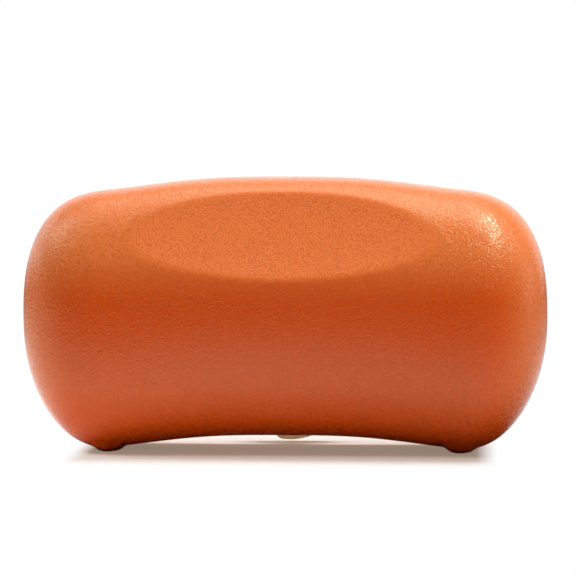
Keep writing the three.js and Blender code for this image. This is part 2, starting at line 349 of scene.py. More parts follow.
def mix_color(tree: NodeTree, share: NodeSocket, first: NodeSocket | Color,
              second: NodeSocket | Color) -> NodeSocket:
    """Adds a Mix node for colours, of which the second shows by the share."""
    inputs = {MIX_SHARE: share, MIX_FIRST: first, MIX_SECOND: second}
    return add_node(tree, "Mix", inputs, data_type="RGBA").outputs[MIX_RESULT]


def map_range(tree: NodeTree, value: NodeSocket, low: float, high: float, to_low: float,
              to_high: float) -> NodeSocket:
    """Adds a smooth Map Range node, which takes low to to_low and high to to_high."""
    return add_node(tree, "MapRange", dict(enumerate((value, low, high, to_low, to_high))),
                    interpolation_type="SMOOTHSTEP").outputs["Result"]


def use_group(tree: NodeTree, group: NodeTree, numbers: dict[str, float]) -> Node:
    """Places a node group in a material, read at the object's own coordinates.

    Args:
        tree: The material's node tree.
        group: The group.
        numbers: Its inputs' numbers, by their names in small letters and with underscores.

    Returns:
        The group's node.
    """
    place = add_node(tree, "TexCoord", {})
    named = {name.replace("_", " ").capitalize(): number for name, number in numbers.items()}
    return add_node(tree, "Group", {"Vector": place.outputs["Object"], **named}, node_tree=group)


def bump_into(tree: NodeTree, height: NodeSocket, shader: Node, distance: float) -> None:
    """Bumps a shader's normal by a height from 0 to 1, where 1 stands out by the distance."""
    bump = add_node(tree, "Bump", {"Distance": distance, "Height": height})
    feed(tree, shader, {"Normal": bump.outputs["Normal"]})


@dataclass(frozen=True)
class PebbleGroup:
    """The grain of moulded leather: uneven pebbles crossed by winding wrinkles.

    Scales are shares of the pebbles per metre. A dome and a crease are spans of distance and of
    height over which each goes from full to none.
    """

    warp_scale: float = 0.35
    fine_scale: float = 2.1
    smoothness: float = 0.35
    dome: Span = (0.15, 0.75)
    fold_scale: float = 0.8
    fold_width: float = 0.1
    crease: Span = (0.15, 0.55)

    def build(self) -> NodeTree:
        """Builds the node group.

        Returns:
            A group with inputs Vector, Pebbles per metre, Warp, Fine share and Wrinkle share, and
            outputs Height and Crease.
        """
        tree, source, target = new_group(
            "pebble_grain", ("Pebbles per metre", "Warp", "Fine share", "Wrinkle share"),
            ("Height", "Crease"))
        vector = source.outputs["Vector"]
        scale = source.outputs["Pebbles per metre"]

        warp_scale = math_node(tree, "MULTIPLY", scale, self.warp_scale)
        drift = add_node(tree, "TexNoise", {"Vector": vector, "Scale": warp_scale, "Detail": 1.0})
        centred = vector_node(tree, "SUBTRACT", drift.outputs["Color"], (0.5, 0.5, 0.5))
        reach = math_node(tree, "DIVIDE", source.outputs["Warp"], scale)
        moved = vector_node(tree, "ADD", vector, vector_node(tree, "SCALE", centred, reach))

        domes = []
        for factor in (1.0, self.fine_scale):
            cells = add_node(tree, "TexVoronoi", {
                "Vector": moved, "Scale": math_node(tree, "MULTIPLY", scale, factor),
                "Smoothness": self.smoothness}, feature="SMOOTH_F1")
            domes.append(map_range(tree, cells.outputs["Distance"], *self.dome, 1.0, 0.0))
        pebbles = mix_value(tree, source.outputs["Fine share"], *domes)

        fold_scale = math_node(tree, "MULTIPLY", scale, self.fold_scale)
        folds = add_node(tree, "TexNoise", {"Vector": moved, "Scale": fold_scale, "Detail": 1.0})
        ridge = math_node(tree, "ABSOLUTE", math_node(tree, "SUBTRACT", folds.outputs["Fac"], 0.5))
        wrinkle = map_range(tree, ridge, 0.0, self.fold_width, 0.0, 1.0)
        height = mix_value(tree, source.outputs["Wrinkle share"], pebbles, wrinkle)
        feed(tree, target, {"Height": height,
                            "Crease": map_range(tree, height, *self.crease, 1.0, 0.0)})
        return tree


@dataclass(frozen=True)
class SpeckleGroup:
    """The fine surface of moulded plastic: a faint even texture and slow patches."""

    grain_detail: float = 2.0
    grain_roughness: float = 0.6
    patches: float = 60.0
    patch_detail: float = 3.0

    def build(self) -> NodeTree:
        """Builds the node group.

        Returns:
            A group with inputs Vector and Grains per metre, and outputs Height and Patch.
        """
        tree, source, target = new_group("moulded_speckle", ("Grains per metre",),
                                         ("Height", "Patch"))
        vector = source.outputs["Vector"]
        grains = add_node(tree, "TexNoise", {
            "Vector": vector, "Scale": source.outputs["Grains per metre"],
            "Detail": self.grain_detail, "Roughness": self.grain_roughness})
        patches = add_node(tree, "TexNoise", {
            "Vector": vector, "Scale": self.patches, "Detail": self.patch_detail})
        feed(tree, target, {"Height": grains.outputs["Fac"], "Patch": patches.outputs["Fac"]})
        return tree


@dataclass(frozen=True)
class Grain:
    """How one surface uses the pebble grain group, by the names of its inputs."""

    pebbles_per_metre: float
    warp: float
    fine_share: float
    wrinkle_share: float


@dataclass(frozen=True)
class GrainColor:
    """A grained surface's colour, on its pebbles and, darker as painted shade, in the creases
    between them.
    """

    pebble: Color
    # Painted shade: the creases' colour is a darker copy of the pebbles'.
    crease: Color

    def mixed(self, tree: NodeTree, crease: NodeSocket) -> NodeSocket:
        """Mixes the two colours by the share of crease."""
        return mix_color(tree, crease, self.pebble, self.crease)


@dataclass(frozen=True)
class SkinFinish:
    """The pillow's satin skin: pebbled leather grain, finer and more matt inside the head dish.

    The skin is deepest in colour round its middle and paler above, below and at its ends. These
    are lit and shaded copies of one orange: painted shade on the middle band, painted light and
    sheen on the top, painted floor light on the underside and a painted rim reflection at the
    ends.
    The fades are heights, and for the ends distances from the middle.
    """

    # Painted shade: the middle band's colour is the darkest copy of the skin's orange.
    middle: GrainColor = GrainColor((0.605, 0.064, 0.001), (0.555, 0.056, 0.001))
    # Painted light and sheen: the top's paler copy stands in for the lamps above.
    upper: GrainColor = GrainColor((0.76, 0.184, 0.042), (0.62, 0.132, 0.026))
    # Painted floor light: the underside's paler copy stands in for light thrown up by the floor.
    under: GrainColor = GrainColor((0.70, 0.084, 0.002), (0.64, 0.073, 0.002))
    # Painted rim reflection: the ends' paler copy stands in for the sheen along their rims.
    end: GrainColor = GrainColor((0.62, 0.120, 0.010), (0.52, 0.088, 0.006))
    dish: GrainColor = GrainColor((0.80, 0.163, 0.028), (0.62, 0.110, 0.015))
    upper_fade: Span = (80 * MM, 118 * MM)
    under_fade: Span = (10 * MM, 64 * MM)
    end_fade: Span = (112 * MM, 145 * MM)
    body_grain: Grain = Grain(640.0, 1.2, 0.3, 0.5)
    dish_grain: Grain = Grain(920.0, 0.6, 0.45, 0.2)
    ior: float = 1.5
    gloss_tint: Color = (0.81, 1.0, 0.72)
    roughness: float = 0.2
    crease_roughness: float = 0.3
    dish_roughness: float = 0.5
    relief: float = 0.15 * MM

    def build(self, pebble: NodeTree) -> Material:
        """Builds the material.

        Args:
            pebble: The pebble grain group.

        Returns:
            The skin's material.
        """
        material, shader = new_material("pillow_skin")
        tree = material.node_tree
        body, dish = (use_group(tree, pebble, vars(grain))
                      for grain in (self.body_grain, self.dish_grain))
        inside = add_node(tree, "Attribute", {}, attribute_name="dish_share").outputs["Fac"]
        height = mix_value(tree, inside, body.outputs["Height"], dish.outputs["Height"])
        bump_into(tree, height, shader, self.relief)

        along, _, up = object_axes(tree)
        raised = map_range(tree, up, *self.upper_fade, 0.0, 1.0)
        sunk = map_range(tree, up, *self.under_fade, 1.0, 0.0)
        outer = map_range(tree, math_node(tree, "ABSOLUTE", along), *self.end_fade, 0.0, 1.0)
        # Painted shade: each zone's darker copy shows in the grain's creases.
        crease = body.outputs["Crease"]
        # Paints the lit and shaded copies over the skin by height and by distance from the middle.
        color = self.middle.mixed(tree, crease)
        for share, zone in ((sunk, self.under), (outer, self.end), (raised, self.upper)):
            color = mix_color(tree, share, color, zone.mixed(tree, crease))
        bowl = self.dish.mixed(tree, dish.outputs["Crease"])
        satin = map_range(tree, crease, 0.0, 1.0, self.roughness, self.crease_roughness)
        feed(tree, shader, {
            "Base Color": mix_color(tree, inside, color, bowl),
            "Roughness": mix_value(tree, inside, satin, self.dish_roughness),
            "IOR": self.ior, "Specular Tint": self.gloss_tint})
        return material


@dataclass(frozen=True)
class FoamFinish:
    """The pale open-cell foam of the core, with the grain's creases as the cells' walls, coloured
    darker as painted shade.
    """

    # Painted shade: the darker second colour goes into the foam's creases.
    color: GrainColor = GrainColor((0.80, 0.70, 0.50), (0.52, 0.42, 0.26))
    grain: Grain = Grain(900.0, 0.8, 0.5, 0.0)
    roughness: float = 0.9
    relief: float = 0.4 * MM

    def build(self, pebble: NodeTree) -> Material:
        """Builds the material.

        Args:
            pebble: The pebble grain group.

        Returns:
            The core's material.
        """
        material, shader = new_material("core_foam")
        tree = material.node_tree
        cells = use_group(tree, pebble, vars(self.grain))
        feed(tree, shader, {"Base Color": self.color.mixed(tree, cells.outputs["Crease"]),
                            "Roughness": self.roughness})
        bump_into(tree, cells.outputs["Height"], shader, self.relief)
        return material


@dataclass(frozen=True)
class PlasticFinish:
    """A moulded plastic with a faint texture, which is opaque unless it transmits light.

    Its slow patches change its colour a little, and its roughness by as much as smoother and
    rougher say.
    """

    name: str
    color: Color
    patch_color: Color
    roughness: float
    smoother: float = 0.05
    rougher: float = 0.08
    patch_fade: Span = (0.3, 0.7)
    grains: float = 2500.0
    relief: float = 0.03 * MM
    transmission: float = 0.0
    ior: float = 1.5

    def build(self, speckle: NodeTree) -> Material:
        """Builds the material.

        Args:
            speckle: The moulded speckle group.

        Returns:
            The plastic's material.
        """
        material, shader = new_material(self.name)
        tree = material.node_tree
        surface = use_group(tree, speckle, {"grains_per_metre": self.grains})
        patch = surface.outputs["Patch"]
        feed(tree, shader, {
            "Base Color": mix_color(tree, patch, self.color, self.patch_color),
            "Roughness": map_range(tree, patch, *self.patch_fade, self.roughness - self.smoother,
                                   self.roughness + self.rougher),
            "Transmission Weight": self.transmission, "IOR": self.ior})
        bump_into(tree, surface.outputs["Height"], shader, self.relief)
        return material


PLASTICS = {
    Slot.SOCKET: PlasticFinish("socket_plastic", (0.47, 0.085, 0.014), (0.42, 0.07, 0.012), 0.4),
    Slot.PLATE: PlasticFinish("plate_plastic", (0.26, 0.27, 0.28), (0.22, 0.23, 0.24), 0.55),
    Slot.RING: PlasticFinish("ring_plastic", (0.085, 0.095, 0.105), (0.07, 0.08, 0.09), 0.5),
    Slot.STUD: PlasticFinish("stud_nylon", (0.78, 0.73, 0.62), (0.72, 0.66, 0.54), 0.32),
    Slot.CUP: PlasticFinish("cup_soft_plastic", (0.80, 0.63, 0.35), (0.73, 0.55, 0.28), 0.22,
                            smoother=0.0, grains=900.0, relief=0.02 * MM, transmission=0.4,
                            ior=1.45),
}

Finishes = dict[Slot, Material]


def build_finishes() -> Finishes:
    """Builds the two shared groups and every material.

    Returns:
        The material for each slot.
    """
    pebble = PebbleGroup().build()
    speckle = SpeckleGroup().build()
    finishes = {slot: plastic.build(speckle) for slot, plastic in PLASTICS.items()}
    finishes[Slot.SKIN] = SkinFinish().build(pebble)
    finishes[Slot.CORE] = FoamFinish().build(pebble)
    return finishes


# Pieces

@dataclass(frozen=True)
class PillowForm:
    """The shape of the pillow's body, given as points on its surface."""

    length: float = 290 * MM
    height: float = 143 * MM
    cap_length: float = 48.5 * MM
    upper_cap_power: float = 2.55
    lower_cap_power: float = 2.0
    bend_drop: float = 8.5 * MM
    bend_reach: float = 122.6 * MM
    bend_power: float = 3.3
    front_depth: float = 46 * MM
    front_power: float = 2.5
    back_depth: float = 42 * MM
    back_power: float = 5.0
    back_plane: float = 37 * MM
    back_rounding: float = 4 * MM
    dish_forward: float = 41.3 * MM
    dish_rise: float = 40 * MM
    dish_tilt: float = math.radians(22)
    dish_hollow: float = 5.9 * MM
    dish_rounding: float = 0.7 * MM
    bowl_half_length: float = 106.5 * MM
    bowl_half_height: float = 80 * MM
    bowl_rise: float = 10 * MM
    foot_place: float = 97.5 * MM
    foot_length: float = 13 * MM
    foot_width: float = 30 * MM
    foot_height: float = 1.4 * MM
    foot_slope: float = 0.9
    foot_rounding: float = 0.8 * MM
    foot_zone_heights: float = 4.0
    offset: float = -4.5 * MM

    @property
    def straight_half(self) -> float:
        """Half the length of the straight part between the end caps."""
        return self.length / 2 - self.cap_length

    @property
    def midline(self) -> float:
        """The mid-line's height above the floor at the middle."""
        return self.height / 2 + self.drop(self.foot_place) + self.foot_height

    def drop(self, x: float) -> float:
        """How far the mid-line has sunk at a distance x from the middle."""
        return self.bend_drop * math.sin(math.pi / 2 * abs(x) / self.bend_reach) ** self.bend_power

    def raw_point(self, x: float, angle: float, inset: float) -> Vector:
        """Gives a point of the straight body before its dish and feet.

        Args:
            x: Place along the pillow.
            angle: Angle round the section, from the front over the top, in radians.
            inset: How far inside the surface the point lies.

        Returns:
            The point, with Y counted from the body's own middle.
        """
        forward = math.cos(angle)
        upward = math.sin(angle)
        power = self.front_power if forward > 0 else self.back_power
        depth = (self.front_depth if forward > 0 else self.back_depth) - inset
        reach = (abs(forward) ** power + abs(upward) ** power) ** (-1 / power)
        blend = (1 + upward) / 2
        cap_power = self.lower_cap_power + (self.upper_cap_power - self.lower_cap_power) * blend
        cap_share = min(1.0, max(0.0, abs(x) - self.straight_half) / (self.cap_length - inset))
        size = reach * (1 - cap_share ** cap_power) ** (1 / cap_power)
        y = smooth_min(-forward * depth * size, self.back_plane - inset, self.back_rounding)
        return Vector((x, y, self.midline + upward * (self.height / 2 - inset) * size))

    def sunk(self, point: Vector, inset: float) -> tuple[Vector, float]:
        """Sinks a point of the straight body into the head dish, where it is above its bowl.

        Args:
            point: The point before the dish.
            inset: How far inside the surface the point lies.

        Returns:
            The point, and how much it belongs to the dish, from 0 to 1.
        """
        normal = Vector((0.0, -math.cos(self.dish_tilt), math.sin(self.dish_tilt)))
        slope = Vector((0.0, math.sin(self.dish_tilt), math.cos(self.dish_tilt)))
        away = point - Vector((0.0, -self.dish_forward, self.midline + self.dish_rise))
        height = away.dot(normal)
        spread = ((point.x / self.bowl_half_length) ** 2
                  + (away.dot(slope) / self.bowl_half_height) ** 2)
        bowl = self.bowl_rise * spread - self.dish_hollow - inset
        sunk_height = smooth_min(height, bowl, self.dish_rounding)
        share = min(1.0, max(0.0, 0.5 + 0.5 * (height - bowl) / self.dish_rounding))
        return point + normal * (sunk_height - height), share

    def bent(self, point: Vector) -> Vector:
        """Bends a point of the straight body as the mid-line is bent."""
        return point - Vector((0.0, 0.0, self.drop(point.x)))

    def footed(self, point: Vector) -> Vector:
        """Lowers a point of the underside onto the nearer foot pad.

        Args:
            point: A point of the outer surface.

        Returns:
            The point, on the floor inside the pad.
        """
        if point.z > self.foot_zone_heights * self.foot_height:
            return point
        across = (abs(point.x) - self.foot_place) / (self.foot_length / 2)
        along = point.y / (self.foot_width / 2)
        beyond = math.hypot(across, along) - 1
        pad = max(0.0, beyond) * self.foot_length / 2 * self.foot_slope
        return Vector((point.x, point.y, max(0.0, smooth_min(point.z, pad, self.foot_rounding))))

    def stations(self, inset: float, straight_steps: int, cap_steps: int) -> list[float]:
        """Lists the places of the sections along the pillow, without its tips.

        Args:
            inset: How far inside the surface the sections lie.
            straight_steps: Steps along the straight part.
            cap_steps: Steps along each end cap.

        Returns:
            The places, from the left to the right.
        """
        turns = [math.pi / 2 * step / cap_steps for step in range(1, cap_steps)]
        caps = [self.straight_half + (self.cap_length - inset) * math.sin(turn) for turn in turns]
        straight = [self.straight_half * (2 * step / straight_steps - 1)
                    for step in range(straight_steps + 1)]
        return [-x for x in reversed(caps)] + straight + caps


@dataclass
class Cushion:
    """The moulded body: its skin, with the dish and the feet, and the foam inside it."""

    form: PillowForm
    straight_steps: int = 130
    cap_steps: int = 36
    around: int = 256
    core_straight_steps: int = 40
    core_cap_steps: int = 14
    core_around: int = 96
    skin_wall: float = 3 * MM
    gap: float = 0.3 * MM

    def build(self, finishes: Finishes) -> None:
        """Builds the skin and the core, dresses them and puts them on the pillow's body.

        Args:
            finishes: The material for each slot.
        """
        skin = self.skin_piece()
        dress(skin, finishes[Slot.SKIN])
        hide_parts("outer_skin")
        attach(skin, "pillow")
        core = self.core_piece()
        dress(core, finishes[Slot.CORE])
        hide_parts("foam_core")
        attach(core, "pillow")
        for piece in (skin, core):
            LOG.info("%s: %d faces", piece.name, len(piece.data.polygons))

    def rings(self, inset: float, straight_steps: int, cap_steps: int,
              around: int) -> tuple[list[list[Vector]], list[float]]:
        """Lays rings of points over the body, at a depth inside its surface.

        Args:
            inset: The depth. The feet are formed only at depth 0.
            straight_steps: Steps along the straight part.
            cap_steps: Steps along each end cap.
            around: Number of points in each ring.

        Returns:
            The rings, with one point at each tip, and each point's share of the dish.
        """
        form = self.form
        tip = form.length / 2 - inset
        rings: list[list[Vector]] = []
        shares: list[float] = []
        for x in (-tip, *form.stations(inset, straight_steps, cap_steps), tip):
            ring = []
            for i in range(around if abs(x) < tip else 1):
                point, share = form.sunk(form.raw_point(x, 2 * math.pi * i / around, inset), inset)
                point = form.bent(point) if inset else form.footed(form.bent(point))
                ring.append(point + Vector((0.0, form.offset, 0.0)))
                shares.append(share)
            rings.append(ring)
        return rings, shares

    def skin_piece(self) -> Object:
        """Builds the skin's outer surface, with the share of the dish stored at each point.

        Returns:
            The skin.
        """
        rings, shares = self.rings(0.0, self.straight_steps, self.cap_steps, self.around)
        mesh = net_mesh("moulded_skin", rings, math.pi)
        attribute = mesh.attributes.new("dish_share", "FLOAT", "POINT")
        attribute.data.foreach_set("value", shares)
        return new_object("moulded_skin", mesh)

    def core_piece(self) -> Object:
        """Builds the foam core, a gap inside the skin's wall.

        Returns:
            The core.
        """
        rings, _ = self.rings(self.skin_wall + self.gap, self.core_straight_steps,
                              self.core_cap_steps, self.core_around)
        return new_object("core_foam", net_mesh("core_foam", rings, math.pi))


@dataclass
class CupMount:
    """One suction cup with its stud, socket and lock ring, all turned round one axis."""

    station: Station
    place: Vector
    tab_turn: float
    gap: float = 0.3 * MM
    skin_wall: float = 3 * MM
    plate_thickness: float = 3 * MM
    barrel_radius: float = 9 * MM
    barrel_length: float = 17 * MM
    flange_radius: float = 13 * MM
    flange_thickness: float = 1.7 * MM
    bore_radius: float = 4.7 * MM
    bore_length: float = 15 * MM
    ring_radius: float = 13 * MM
    ring_thickness: float = 3 * MM
    rib_radius: float = 4.4 * MM
    rib_depth: float = 0.5 * MM
    rib_pitch: float = 4 * MM
    rib_count: int = 3
    plug_nose: float = 1.5 * MM
    collar_radius: float = 7 * MM
    collar_thickness: float = 1 * MM
    neck_radius: float = 3.8 * MM
    button_radius: float = 6.5 * MM
    button_thickness: float = 1.6 * MM
    lip_thickness: float = 1.6 * MM
    boss_radius: float = 10 * MM
    bell_floor: float = 1.8 * MM
    bell_radius: float = 27.5 * MM
    bell_depth: float = 8.8 * MM
    rim_edge: float = 1.4 * MM
    rim_land: float = 1.5 * MM
    bell_root_rise: float = 1.6 * MM
    tab_reach: float = 8.5 * MM
    tab_width: float = 32 * MM
    tab_corner: float = 5 * MM
    tab_thickness: float = 1.9 * MM
    edge_rounding: float = 0.35 * MM
    segments: int = 96
    back_steps: int = 18
    hollow_steps: int = 24
    tab_root_steps: int = 12
    tab_corner_steps: int = 8
    tab_end_steps: int = 20
    tab_edge_steps: int = 3
    bell_sharp_angle: float = 1.2
    cup_sharp_angle: float = 0.7
    level: float = 1e-9

    def __post_init__(self) -> None:
        """Adds up the heights over the back wall, from the socket's flange to the bell's rim."""
        self.socket_face = self.gap + self.flange_thickness
        self.collar_top = self.socket_face + self.gap + self.collar_thickness
        self.boss_foot = self.collar_top + self.gap
        self.button_top = self.boss_foot + self.lip_thickness + self.gap + self.button_thickness
        self.bell_apex = self.button_top + self.gap + self.bell_floor
        self.rim_plane = self.bell_apex + self.bell_depth

    def build(self, finishes: Finishes) -> None:
        """Builds the four pieces, dresses them and puts them on their bodies.

        Args:
            finishes: The material for each slot.
        """
        where = self.station.value
        pieces = (
            ("socket", self.socket_mesh(), Slot.SOCKET, "pillow"),
            ("lock_ring", self.ring_mesh(), Slot.RING, "pillow"),
            ("cup_stud", self.stud_mesh(), Slot.STUD, "stud_" + where),
            ("suction_cup", self.cup_mesh(), Slot.CUP, "cup_" + where),
        )
        for node, mesh, slot, body in pieces:
            mesh.transform(Matrix.Translation(self.place))
            piece = new_object(f"smooth_{node}_{where}", mesh)
            dress(piece, finishes[slot])
            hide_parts(f"{node}_{where}")
            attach(piece, body)
            LOG.info("%s: %d faces", piece.name, len(mesh.polygons))

    def socket_mesh(self) -> Mesh:
        """Builds the flanged socket with its blind bore.

        Returns:
            The closed mesh.
        """
        face = self.socket_face
        profile = [
            (0.0, -self.barrel_length), (self.barrel_radius, -self.barrel_length),
            (self.barrel_radius, self.gap), (self.flange_radius, self.gap),
            (self.flange_radius, face), (self.bore_radius, face),
            (self.bore_radius, -self.bore_length), (0.0, -self.bore_length)]
        return turned_mesh("socket", rounded(profile, self.edge_rounding), self.segments)

    def ring_mesh(self) -> Mesh:
        """Builds the lock ring behind the insert plate.

        Returns:
            The closed mesh.
        """
        top = -self.skin_wall - self.gap - self.plate_thickness - self.gap
        bottom = top - self.ring_thickness
        inner = self.barrel_radius + self.gap
        middle = (bottom + top) / 2
        profile = [(inner, middle), (inner, bottom), (self.ring_radius, bottom),
                   (self.ring_radius, top), (inner, top), (inner, middle)]
        return turned_mesh("lock_ring", rounded(profile, self.edge_rounding)[:-1], self.segments)

    def stud_mesh(self) -> Mesh:
        """Builds the stud: ribbed plug, collar, neck and button.

        Returns:
            The closed mesh.
        """
        nose = self.gap - self.bore_length
        root = self.rib_radius - self.rib_depth
        profile = [(0.0, nose), (root - self.rib_depth, nose), (root, nose + self.plug_nose)]
        for rib in range(self.rib_count):
            foot = nose + self.plug_nose + rib * self.rib_pitch
            profile += [(root, foot + self.rib_pitch / 4),
                        (self.rib_radius, foot + self.rib_pitch / 2),
                        (root, foot + self.rib_pitch * 3 / 4)]
        collar_foot = self.socket_face + self.gap
        button_foot = self.button_top - self.button_thickness
        profile += [(root, collar_foot), (self.collar_radius, collar_foot),
                    (self.collar_radius, self.collar_top), (self.neck_radius, self.collar_top),
                    (self.neck_radius, button_foot), (self.button_radius, button_foot),
                    (self.button_radius, self.button_top), (0.0, self.button_top)]
        return turned_mesh("cup_stud", rounded(profile, self.edge_rounding), self.segments)

    def bell_mesh(self) -> Mesh:
        """Builds the cup without its tab: the boss round the button and the bell.

        Returns:
            The closed mesh.
        """
        bell_root = self.bell_apex - self.bell_root_rise
        rim_back = self.rim_plane - self.rim_edge
        inner_rim = self.bell_radius - self.rim_land
        bend = self.bell_radius - self.boss_radius
        pocket = self.button_radius + self.gap
        hole = self.neck_radius + self.gap
        pocket_foot = self.boss_foot + self.lip_thickness
        pocket_top = self.button_top + self.gap
        inside = rounded([(0.0, pocket_top), (pocket, pocket_top), (pocket, pocket_foot),
                          (hole, pocket_foot), (hole, self.boss_foot),
                          (self.boss_radius, self.boss_foot), (self.boss_radius, bell_root)],
                         self.edge_rounding)
        back = flare((self.boss_radius, bell_root), (bend, bell_root),
                     (self.bell_radius, rim_back), self.back_steps)
        rim = rounded([back[-2], back[-1], (self.bell_radius, self.rim_plane),
                       (inner_rim, self.rim_plane),
                       (inner_rim - self.rim_land, self.rim_plane - self.rim_land / 2)],
                      self.edge_rounding)[1:-1]
        hollow = flare((inner_rim, self.rim_plane), (bend, self.bell_apex),
                       (0.0, self.bell_apex), self.hollow_steps)
        return turned_mesh("suction_cup", inside + back[1:-1] + rim + hollow[2:], self.segments,
                           self.bell_sharp_angle)

    def tab_outline(self) -> Profile:
        """Draws the pull tab round the cup's axis, hanging straight down.

        It starts along the rim's land and ends in an arc with two round corners.

        Returns:
            The outline's points, as (place along X, place along Z).
        """
        start = self.bell_radius - self.rim_land
        end = self.bell_radius + self.tab_reach
        half = self.tab_width / 2
        spread = math.asin(half / start)
        corner_reach = end - self.tab_corner
        corner_x = half - self.tab_corner
        corner_turn = math.asin(corner_x / corner_reach)
        corner_z = -corner_reach * math.cos(corner_turn)
        across = math.pi / 2
        arcs = (
            (0.0, 0.0, start, spread, -spread, self.tab_root_steps),
            (-corner_x, corner_z, self.tab_corner, -across, -corner_turn, self.tab_corner_steps),
            (0.0, 0.0, end, -corner_turn, corner_turn, self.tab_end_steps),
            (corner_x, corner_z, self.tab_corner, corner_turn, across, self.tab_corner_steps),
        )
        outline: Profile = []
        for x, z, radius, first, last, steps in arcs:
            turns = [first + (last - first) * step / steps for step in range(steps + 1)]
            points = [(x + radius * math.sin(t), z - radius * math.cos(t)) for t in turns]
            meets = bool(outline) and math.dist(outline[-1], points[0]) <= self.gap
            outline += points[1:] if meets else points
        return outline

    def tab_mesh(self) -> Mesh:
        """Builds the pull tab as a plate with rounded long edges.

        Returns:
            The closed mesh.
        """
        outline = self.tab_outline()
        front = self.rim_plane - self.gap
        work = bmesh.new()
        low = [work.verts.new((x, front - self.tab_thickness, z)) for x, z in outline]
        high = [work.verts.new((x, front, z)) for x, z in outline]
        work.faces.new(low)
        work.faces.new(list(reversed(high)))
        for i in range(len(outline)):
            after = (i + 1) % len(outline)
            work.faces.new((low[i], high[i], high[after], low[after]))
        long_edges = [edge for edge in work.edges
                      if abs(edge.verts[0].co.y - edge.verts[1].co.y) < self.level]
        bmesh.ops.bevel(work, geom=long_edges, offset=self.edge_rounding,
                        segments=self.tab_edge_steps, affect="EDGES", profile=0.5)
        return made_mesh("tab", work, SHARP_ANGLE)

    def cup_mesh(self) -> Mesh:
        """Joins the bell and the turned tab into one closed mesh.

        Returns:
            The cup.
        """
        bell = new_object("bell", self.bell_mesh())
        tab_mesh = self.tab_mesh()
        tab_mesh.transform(Matrix.Rotation(-self.tab_turn, 4, "Y"))
        tab = new_object("tab", tab_mesh)
        joined = bell.modifiers.new("join", "BOOLEAN")
        joined.operation = "UNION"
        joined.solver = "EXACT"
        joined.object = tab
        bpy.context.view_layer.update()
        work = bmesh.new()
        work.from_object(bell, bpy.context.evaluated_depsgraph_get())
        for helper in (bell, tab):
            bpy.data.objects.remove(helper)
        return made_mesh("suction_cup", work, self.cup_sharp_angle)


@dataclass(frozen=True)
class CupLayout:
    """Where the three cups stand on the back wall, and how far their tabs are turned."""

    side_place: float = 80 * MM
    upper_rise: float = 22 * MM
    lower_rise: float = 28.5 * MM
    side_turn: float = math.radians(30)
    lower_turn: float = math.radians(14)

    def mounts(self, form: PillowForm) -> list[CupMount]:
        """Lists the three cups.

        Args:
            form: The body's shape.

        Returns:
            One cup mount for each station.
        """
        back = form.back_plane + form.offset
        upper = form.midline + self.upper_rise
        lower = form.midline - form.height / 2 + self.lower_rise
        return [
            CupMount(Station.LEFT, Vector((-self.side_place, back, upper)), -self.side_turn),
            CupMount(Station.RIGHT, Vector((self.side_place, back, upper)), self.side_turn),
            CupMount(Station.LOWER, Vector((0.0, back, lower)), self.lower_turn),
        ]


@dataclass
class InsertPlate:
    """The stiff plate behind the back wall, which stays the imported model's own piece."""

    node: str = "insert_plate"

    def build(self, finishes: Finishes) -> None:
        """Dresses the plate."""
        dress(bpy.data.objects[self.node], finishes[Slot.PLATE])
        LOG.info("%s dressed", self.node)


# Studio

@dataclass(frozen=True)
class SoftBox:
    """One soft rectangular lamp that points at the pillow."""

    name: str
    place: tuple[float, float, float]
    size: tuple[float, float]
    light: float
    roll: float = 0.0
    receiver: Receiver = Receiver.PILLOW

    def build(self, target: Vector, lit: Collection) -> None:
        """Adds the lamp.

        Args:
            target: The point that it faces. A white face turned to the lamp there shows its light
                share as its own brightness.
            lit: The pieces that it lights.
        """
        away = Vector(self.place) - target
        data = bpy.data.lights.new(self.name, "AREA")
        data.shape = "RECTANGLE"
        data.size, data.size_y = self.size
        data.energy = self.light * math.pi ** 2 * away.length_squared
        lamp = new_object(self.name, data)
        lamp.location = self.place
        turn = (-away).to_track_quat("-Z", "Y") @ Quaternion((0.0, 0.0, 1.0), self.roll)
        lamp.rotation_euler = turn.to_euler()
        lamp.visible_camera = False
        lamp.light_linking.receiver_collection = lit


SOFT_BOXES = (
    SoftBox("overhead", (0.0, 0.0, 1.1), (1.2, 0.9), 0.36),
    SoftBox("overhead_right", (0.35, -0.2, 1.05), (0.4, 0.5), 0.24),
    SoftBox("overhead_middle", (0.0, 0.12, 0.9), (0.6, 0.3), 0.15),
    SoftBox("overhead_back", (0.0, 0.35, 1.0), (0.6, 0.3), 0.05),
    SoftBox("left_high", (-0.9, -0.1, 0.85), (0.5, 0.6), 0.27),
    SoftBox("right_high", (0.9, -0.1, 0.85), (0.5, 0.6), 0.11),
    SoftBox("back_high", (0.0, 1.0, 0.6), (1.6, 0.5), 0.05),
    SoftBox("backdrop", (0.0, 1.5, 0.75), (4.0, 1.4), 0.70),
    SoftBox("right_side", (1.1, -0.1, 0.5), (0.8, 0.8), 0.04),
    SoftBox("left_back", (-1.0, 0.4, 0.5), (0.6, 0.6), 0.13),
    SoftBox("left_low", (-1.1, 0.1, 0.2), (0.6, 0.35), 0.02),
    SoftBox("right_low", (1.1, 0.1, 0.2), (0.6, 0.35), 0.08),
    SoftBox("left_shoulder", (-0.72, -0.40, 1.08), (0.40, 0.85), 0.06, math.radians(32.5)),
    SoftBox("right_shoulder", (0.72, -0.40, 1.08), (0.07, 0.85), 0.66, math.radians(-32.5)),
    SoftBox("table_left", (-0.65, -0.1, 0.95), (0.5, 0.6), 1.03, receiver=Receiver.FLOOR),
    SoftBox("table_back", (0.0, 0.2, 1.0), (0.6, 0.3), 1.15, receiver=Receiver.FLOOR),
)


